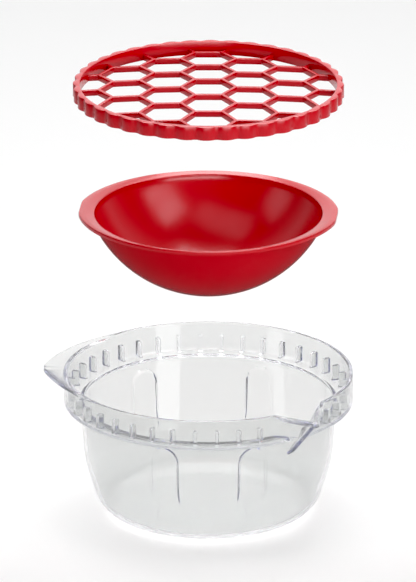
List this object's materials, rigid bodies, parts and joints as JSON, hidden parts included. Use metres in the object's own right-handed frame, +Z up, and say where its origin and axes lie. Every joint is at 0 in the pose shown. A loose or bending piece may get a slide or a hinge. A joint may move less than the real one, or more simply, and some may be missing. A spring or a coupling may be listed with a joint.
{
  "type": "egg cooker",
  "caption": "Clear jug with a V spout and a pointed lip, a round-bottomed bowl that hangs in its rim band, and a scalloped honeycomb grid that lies on the bowl.",
  "frame": {"origin": "centre of the jug's flat base, on the surface it stands on", "axes": "+Z up through the jug, the bowl and the grid; -Y towards the front of the picture, +X to its right"},
  "size_m": [0.1611, 0.15, 0.2326],
  "materials": {
    "clear_plastic": "clear, polished",
    "red_plastic": "semi-gloss"
  },
  "bodies": {
    "jug": {"clear_jug": "clear_plastic"},
    "bowl": {"inner_bowl": "red_plastic"},
    "grid": {"honeycomb_grid": "red_plastic"}
  },
  "joints": [
    {"name": "bowl_lift", "type": "slide", "parent": "jug", "child": "bowl", "axis": [0, 0, 1], "range_m": [-0.1, 0]},
    {"name": "grid_lift", "type": "slide", "parent": "bowl", "child": "grid", "axis": [0, 0, 1], "range_m": [-0.062, 0]}
  ]
}
